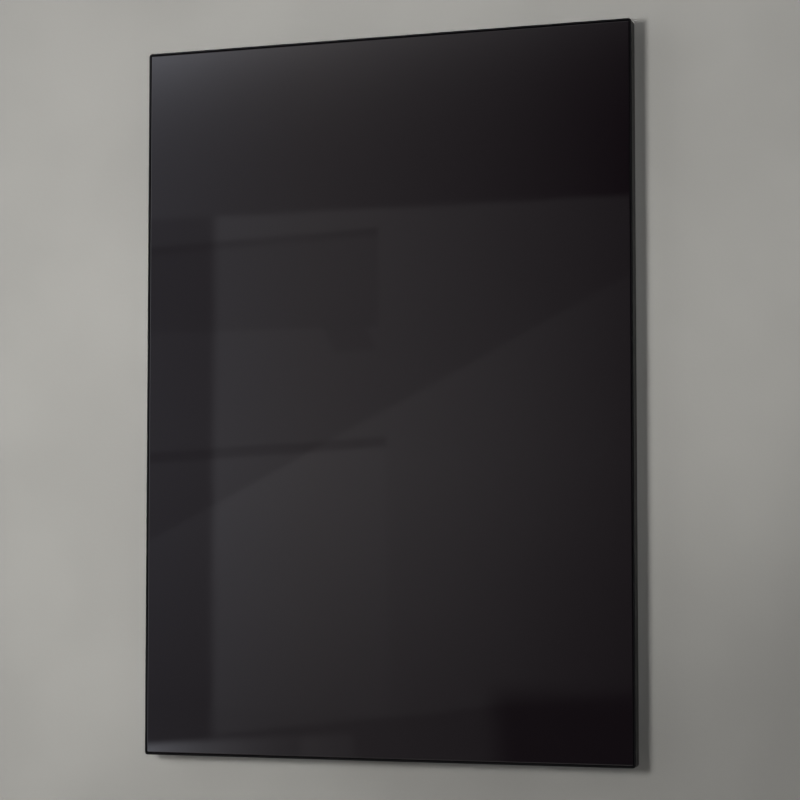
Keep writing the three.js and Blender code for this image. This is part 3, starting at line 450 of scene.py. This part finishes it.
def makeSmoother(facts):  # rounds the shading of turned faces and keeps real edges crisp
    tree = bpy.data.node_groups.new("smoothTurnedFaces", "GeometryNodeTree")
    tree.interface.new_socket("Geometry", in_out="INPUT", socket_type="NodeSocketGeometry")
    tree.interface.new_socket("Geometry", in_out="OUTPUT", socket_type="NodeSocketGeometry")
    start, end = tree.nodes.new("NodeGroupInput"), tree.nodes.new("NodeGroupOutput")
    merged = addNode(
        tree, "GeometryNodeMergeByDistance", {"Geometry": start.outputs[0], "Distance": facts["weldWithin"]}
    )
    faces = addNode(
        tree, "GeometryNodeSetShadeSmooth",
        {"Geometry": merged.outputs[0], "Shade Smooth": True}, domain="FACE",
    )
    angle = addNode(tree, "GeometryNodeInputMeshEdgeAngle")
    sharp = addNode(
        tree, "FunctionNodeCompare",
        {0: angle.outputs["Unsigned Angle"], 1: math.radians(facts["crispDegrees"])},
        operation="GREATER_THAN",
    )
    crisp = addNode(
        tree, "GeometryNodeSetShadeSmooth",
        {"Geometry": faces.outputs[0], "Selection": sharp.outputs[0], "Shade Smooth": False}, domain="EDGE",
    )
    setInput(tree, end.inputs[0], crisp.outputs[0])
    return tree


smoother = makeSmoother(edgeWork)
for name, piece in nodes.items():
    if "custom_normal" in piece.data.attributes:
        piece.data.attributes.remove(piece.data.attributes["custom_normal"])
    step = piece.modifiers.new("smoothTurnedFaces", "NODES")
    step.node_group = smoother
    width = next((size for start, size in edges.items() if name.startswith(start)), None)
    if width:
        bevel = piece.modifiers.new("softEdge", "BEVEL")
        bevel.width = width
        bevel.segments = edgeWork["segments"]
        bevel.limit_method = "ANGLE"
        bevel.angle_limit = math.radians(edgeWork["bevelDegrees"])
        bevel.use_clamp_overlap = True
    flat = piece.modifiers.new("flatFaces", "WEIGHTED_NORMAL")  # large faces stay optically flat
    flat.mode = "FACE_AREA"
    flat.weight = edgeWork["flatWeight"]
    flat.keep_sharp = True
print("edges softened")


# Wall and floor.

wall = {
    "size": 7.0,
    "behind": 0.0006,  # just behind the bracket's own face
    "dark": (0.375, 0.366, 0.342),
    "light": (0.405, 0.396, 0.370),
    "patch": {"Size": 0.22, "Seed": 5.0},
    "grain": {"Size": 0.004, "Low": 0.8, "High": 0.95},
    "grainDepth": 0.0002,
    "bumpStrength": 0.4,
    "shadeWay": (0.447, -0.894),
    "shadeFrom": 0.2,
    "shadeTo": 0.56,
    "shadeTones": (1.15, 0.76),
    "clearRay": 0.4,
    "clearInside": 0.001,
}
floor = {"height": -1.35, "size": 7.0, "colour": (0.62, 0.61, 0.59), "rough": 0.8, "lift": 0.34}


def makePlane(name, corners):
    mesh = bpy.data.meshes.new(name)
    mesh.from_pydata(corners, [], [(0, 1, 2, 3)])
    plane = bpy.data.objects.new(name, mesh)
    bpy.context.scene.collection.objects.link(plane)
    return plane


def makeOneSided(tree, shader, alsoClear=0.0):  # nothing is seen of it from behind
    behind = addNode(tree, "ShaderNodeNewGeometry").outputs["Backfacing"]
    clear = addNode(tree, "ShaderNodeBsdfTransparent")
    amount = maths(tree, "MAXIMUM", behind, alsoClear)
    either = addNode(tree, "ShaderNodeMixShader", {0: amount, 1: shader.outputs[0], 2: clear.outputs[0]})
    setInput(tree, tree.nodes["Material Output"].inputs["Surface"], either.outputs[0])


def within(tree, coordinate, limit):
    return maths(tree, "LESS_THAN", maths(tree, "ABSOLUTE", coordinate), limit)


def makeWall(facts):
    half, y, foot = facts["size"] / 2, facts["behind"], floor["height"]
    plane = makePlane("wall", [(-half, y, foot), (half, y, foot), (half, y, half), (-half, y, half)])
    material, tree, shader = startMaterial("plainWall", Roughness=0.9)
    patches = useGroup(tree, slowPatches, facts["patch"])
    colour = mixColours(tree, patches.outputs["Value"], (*facts["dark"], 1), (*facts["light"], 1))
    spot = addNode(tree, "ShaderNodeTexCoord").outputs["Object"]
    parts = addNode(tree, "ShaderNodeSeparateXYZ", {0: spot})

    # The wall falls into shade towards the lower right.
    shadeWay = (facts["shadeWay"][0], 0.0, facts["shadeWay"][1])
    along = addNode(tree, "ShaderNodeVectorMath", {0: spot, 1: shadeWay}, operation="DOT_PRODUCT")
    shadeRange = (facts["shadeFrom"], facts["shadeTo"])
    tone = remap(tree, along.outputs["Value"], *shadeRange, *facts["shadeTones"], smooth=True)
    toned = addNode(tree, "ShaderNodeVectorMath", {0: colour, "Scale": tone}, operation="SCALE")
    setInput(tree, shader.inputs["Base Color"], toned.outputs[0])
    grain = useGroup(tree, fineGrain, facts["grain"])
    addBump(tree, shader, grain.outputs["Height"], facts["grainDepth"], facts["bumpStrength"])

    # Short rays inside the panel's outline pass through, so that its back isn't dark from behind.
    rayLength = addNode(tree, "ShaderNodeLightPath").outputs["Ray Length"]
    short = maths(tree, "LESS_THAN", rayLength, facts["clearRay"])
    insideX = within(tree, parts.outputs["X"], cadHigh.x - facts["clearInside"])
    insideZ = within(tree, parts.outputs["Z"], cadHigh.z - facts["clearInside"])
    makeOneSided(tree, shader, product(tree, short, insideX, insideZ))
    plane.data.materials.append(material)
    plane.visible_shadow = False


def makeFloor(facts):
    half, z = facts["size"] / 2, facts["height"]
    plane = makePlane("floor", [(-half, -half, z), (half, -half, z), (half, half, z), (-half, half, z)])
    material, tree, shader = startMaterial("plainFloor", Roughness=facts["rough"])
    shader.inputs["Base Color"].default_value = (*facts["colour"], 1)
    paths = addNode(tree, "ShaderNodeLightPath")
    direct = maths(tree, "ADD", paths.outputs["Is Camera Ray"], paths.outputs["Is Glossy Ray"], clamp=True)
    strength = maths(tree, "MULTIPLY", direct, facts["lift"])
    paler = addNode(tree, "ShaderNodeEmission", {"Color": (*facts["colour"], 1), "Strength": strength})
    makeOneSided(tree, addNode(tree, "ShaderNodeAddShader", {0: shader.outputs[0], 1: paler.outputs[0]}))
    plane.data.materials.append(material)


makeWall(wall)
makeFloor(floor)
print("wall and floor made")


# Light. Reflections don't show the lamps: the world and the soft screen are what they show.

lights = {
    "keyLight": {
        "place": (-0.32, -2.2, 0.06), "aim": (-0.2, 0, 0.12),
        "size": (0.42, 0.42), "power": 12.6, "spread": 120,
    },
    "washLight": {
        "place": (-2.1, -1.5, 0.4), "aim": (-0.5, 0, 0.2),
        "size": (1.3, 2.6), "power": 12.5, "spread": 180,
    },
    "fillLight": {
        "place": (2.1, -1.7, 1.2), "aim": (1.2, 0, 0.4),
        "size": (1.4, 1.4), "power": 2.8, "spread": 100,
    },
    "backLight": {
        "place": (1.5, 2.3, 1.5), "aim": (0, 0, 0),
        "size": (1.0, 1.0), "power": 36.0, "spread": 180,
    },
}
worldLevel = {
    "colour": (0.95, 0.965, 1.0),
    "strength": 0.12,
    "seen": 0.78,
    # What reflections show, by the way they look.
    "glossRight": 0.06,
    "glossLeft": 2.0,
    "glossUp": 0.4,
    "glossBack": 0.62,
    "leftToRight": (-0.78, -0.5),
    "levelToUp": (0.6, 0.85),
    "frontToBack": (-0.3, 0.1),
}


def makeLight(name, facts):
    data = bpy.data.lights.new(name, "AREA")
    data.shape = "RECTANGLE"
    data.size, data.size_y = facts["size"]
    data.energy = facts["power"]
    data.spread = math.radians(facts["spread"])
    lamp = bpy.data.objects.new(name, data)
    lamp.location = facts["place"]
    aim = Vector(facts["aim"]) - Vector(facts["place"])
    lamp.rotation_euler = aim.to_track_quat("-Z", "Y").to_euler()
    lamp.visible_glossy = False
    bpy.context.scene.collection.objects.link(lamp)


def makeWorld(facts):
    world = bpy.data.worlds.new("softStudio")
    world.use_nodes = True
    tree = world.node_tree
    background = tree.nodes["Background"]
    background.inputs["Color"].default_value = (*facts["colour"], 1)
    paths = addNode(tree, "ShaderNodeLightPath")
    way = addNode(tree, "ShaderNodeTexCoord").outputs["Generated"]
    heading = addNode(tree, "ShaderNodeSeparateXYZ", {0: way})
    sides = (facts["glossLeft"], facts["glossRight"])
    front = remap(tree, heading.outputs["X"], *facts["leftToRight"], *sides, smooth=True)
    front = remap(tree, heading.outputs["Z"], *facts["levelToUp"], front, facts["glossUp"], smooth=True)
    gloss = remap(tree, heading.outputs["Y"], *facts["frontToBack"], front, facts["glossBack"], smooth=True)
    level = remap(tree, paths.outputs["Is Glossy Ray"], 0.0, 1.0, facts["strength"], gloss)
    level = remap(tree, paths.outputs["Is Camera Ray"], 0.0, 1.0, level, facts["seen"])
    setInput(tree, background.inputs["Strength"], level)
    bpy.context.scene.world = world


for name, facts in lights.items():
    makeLight(name, facts)
makeWorld(worldLevel)
bpy.context.scene.view_settings.view_transform = "Standard"
print("lights placed")


# A soft screen in front of the glass, seen only as a reflection.

# Places on the screen are x and z in metres. Each patch is a soft-edged four-sided shape.
screen = {
    "distance": 3.0,
    "bounds": (-3.6, 2.0, -2.6, 3.2),
    "leftEdge": -1.62,
    "rightEdge": -0.215,
    "upperLevel": (0.56, 0.01),
    "lowerLevel": (0.82, 0.145),
    "lowerTop": 0.764,
    "lowerSoft": 0.012,
    "sideShade": 0.53,
    "sideShadeRight": -1.412,
    "sideSoft": 0.02,
    "glowLevel": 1.5,
    "glowTop": 1.234,
    "glowFade": (0.62, 0.118),
    "dimRange": (0.08, -0.60),
    "dimGain": 0.56,
    "cool": (0.93, 0.96, 1.08, 1),
    "coolWidth": 0.5,
    "plain": (1.0, 0.97, 0.99, 1),
    "patches": {
        "upperBar": {
            "corners": ((-3.7, 0.598), (-0.930, 0.712), (-0.930, 0.690), (-3.7, 0.566)),
            "soft": 0.008, "gain": 0.72,
        },
        "upperShade": {
            "corners": ((-3.7, 0.566), (-0.930, 0.690), (-0.930, 0.437), (-3.7, 0.455)),
            "soft": 0.006, "gain": 0.86,
        },
        "upperNotch": {
            "corners": ((-1.089, 0.442), (-0.965, 0.438), (-0.933, 0.373), (-1.057, 0.369)),
            "soft": 0.008, "gain": 0.88,
        },
        "lowerBar": {
            "corners": ((-3.7, 0.005), (-0.907, 0.134), (-0.907, 0.108), (-3.7, -0.045)),
            "soft": 0.008, "gain": 0.74,
        },
        "belowSlope": {
            "corners": ((-3.7, -1.215), (0.3, 0.825), (0.3, -2.7), (-3.7, -2.7)),
            "soft": 0.010, "gain": 1.26,
        },
        "middleStep": {
            "corners": ((-1.412, 0.108), (-0.908, 0.108), (-0.896, -0.616), (-1.412, -0.616)),
            "soft": 0.012, "gain": 1.07,
        },
        "bottomShade": {
            "corners": ((-3.7, -0.950), (0.3, -0.487), (0.3, -2.7), (-3.7, -2.7)),
            "soft": 0.012, "gain": 0.74,
        },
        "stripShade": {
            "corners": ((-1.412, -0.70), (-1.15, -0.685), (-1.15, -1.1), (-1.412, -1.1)),
            "soft": 0.02, "gain": 0.62,
        },
        "cornerShade": {
            "corners": ((-0.611, -0.557), (0.3, -0.557), (0.3, -2.7), (-0.407, -2.7)),
            "soft": 0.05, "gain": 0.35,
        },
    },
    "bottomStrip": {
        "corners": ((-2.3, -0.761), (-1.0, -0.675), (-1.0, -1.3), (-2.3, -1.3)),
        "soft": 0.014, "level": 1.75,
    },
    "stripFade": 0.2,
    "stripLeft": (-2.1, -1.62),
    "stripBelow": (-1.2, -0.8),
    "farRange": (-2.3, -3.4),
    "farLevel": 1.7,
    "footFade": (-0.85, -1.35),
    "footLevel": 0.3,
    "topFade": (1.3, 2.6),
    "topLevel": 0.75,
}


def softPatch(tree, spot, corners, soft):
    inside = None
    for i, corner in enumerate(corners):
        start, end = Vector(corner), Vector(corners[(i + 1) % len(corners)])
        along = (end - start).normalized()
        inward = Vector((along.y, 0, -along.x))  # the corners run clockwise
        offset = inward.x * start.x + inward.z * start.y
        reach = addNode(tree, "ShaderNodeVectorMath", {0: spot, 1: tuple(inward)}, operation="DOT_PRODUCT")
        edge = remap(tree, reach.outputs["Value"], offset - soft, offset + soft, smooth=True)
        inside = edge if inside is None else maths(tree, "MULTIPLY", inside, edge)
    return inside


def steppedLevel(tree, spot, x, z, facts):  # two fields, the patches on them and the dimmer foot
    span = (facts["leftEdge"], facts["rightEdge"])
    upper = remap(tree, x, *span, *facts["upperLevel"])
    lower = remap(tree, x, *span, *facts["lowerLevel"])
    sideRange = (facts["sideShadeRight"] - facts["sideSoft"], facts["sideShadeRight"] + facts["sideSoft"])
    side = remap(tree, x, *sideRange, facts["sideShade"], 1.0, smooth=True)
    lowerRange = (facts["lowerTop"] + facts["lowerSoft"], facts["lowerTop"] - facts["lowerSoft"])
    isLower = remap(tree, z, *lowerRange, smooth=True)
    level = mixValues(tree, isLower, upper, maths(tree, "MULTIPLY", lower, side))
    for patch in facts["patches"].values():
        inside = softPatch(tree, spot, patch["corners"], patch["soft"])
        level = maths(tree, "MULTIPLY", level, remap(tree, inside, 0.0, 1.0, 1.0, patch["gain"]))
    return maths(tree, "MULTIPLY", level, remap(tree, z, *facts["dimRange"], 1.0, facts["dimGain"]))


def glowAt(tree, fromLeft, z, facts):  # brightest at the upper left
    fromTop = maths(tree, "MAXIMUM", maths(tree, "SUBTRACT", facts["glowTop"], z), 0.0)
    fadeX, fadeZ = facts["glowFade"]
    away = maths(tree, "ADD", maths(tree, "DIVIDE", fromLeft, fadeX), maths(tree, "DIVIDE", fromTop, fadeZ))
    fade = maths(tree, "EXPONENT", maths(tree, "MULTIPLY", away, -1.0))
    return maths(tree, "MULTIPLY", fade, facts["glowLevel"])


def stripAt(tree, spot, fromLeft, x, z, facts):
    strip = softPatch(tree, spot, facts["bottomStrip"]["corners"], facts["bottomStrip"]["soft"])
    fade = maths(tree, "EXPONENT", maths(tree, "DIVIDE", fromLeft, -facts["stripFade"]))
    left = remap(tree, x, *facts["stripLeft"], smooth=True)
    below = remap(tree, z, *facts["stripBelow"], smooth=True)
    return product(tree, strip, fade, left, below, facts["bottomStrip"]["level"])


def makeScreen(facts):
    y = -facts["distance"]
    left, right, bottom, top = facts["bounds"]
    plane = makePlane("softScreen", [(left, y, bottom), (left, y, top), (right, y, top), (right, y, bottom)])
    material = bpy.data.materials.new("softScreen")
    material.use_nodes = True
    tree = material.node_tree
    tree.nodes.clear()
    spot = addNode(tree, "ShaderNodeTexCoord").outputs["Object"]
    parts = addNode(tree, "ShaderNodeSeparateXYZ", {0: spot})
    x, z = parts.outputs["X"], parts.outputs["Z"]
    fromLeft = maths(tree, "MAXIMUM", maths(tree, "SUBTRACT", x, facts["leftEdge"]), 0.0)
    level = steppedLevel(tree, spot, x, z, facts)
    for extra in (
        glowAt(tree, fromLeft, z, facts),
        remap(tree, x, *facts["farRange"], 0.0, facts["farLevel"], smooth=True),
        stripAt(tree, spot, fromLeft, x, z, facts),
        remap(tree, z, *facts["topFade"], 0.0, facts["topLevel"], smooth=True),
    ):
        level = maths(tree, "ADD", level, extra)
    nearFoot = remap(tree, z, *facts["footFade"], smooth=True)
    level = mixValues(tree, nearFoot, level, facts["footLevel"])
    coolness = remap(tree, x, facts["leftEdge"], facts["leftEdge"] + facts["coolWidth"], 1.0, 0.0)
    coolness = maths(tree, "MULTIPLY", coolness, maths(tree, "SUBTRACT", 1.0, nearFoot))
    colour = mixColours(tree, coolness, facts["plain"], facts["cool"])
    emission = addNode(tree, "ShaderNodeEmission", {"Color": colour, "Strength": level})
    addNode(tree, "ShaderNodeOutputMaterial", {"Surface": emission.outputs[0]})
    plane.data.materials.append(material)
    plane.visible_camera = False
    plane.visible_diffuse = False
    plane.visible_shadow = False


makeScreen(screen)
print("soft screen made")
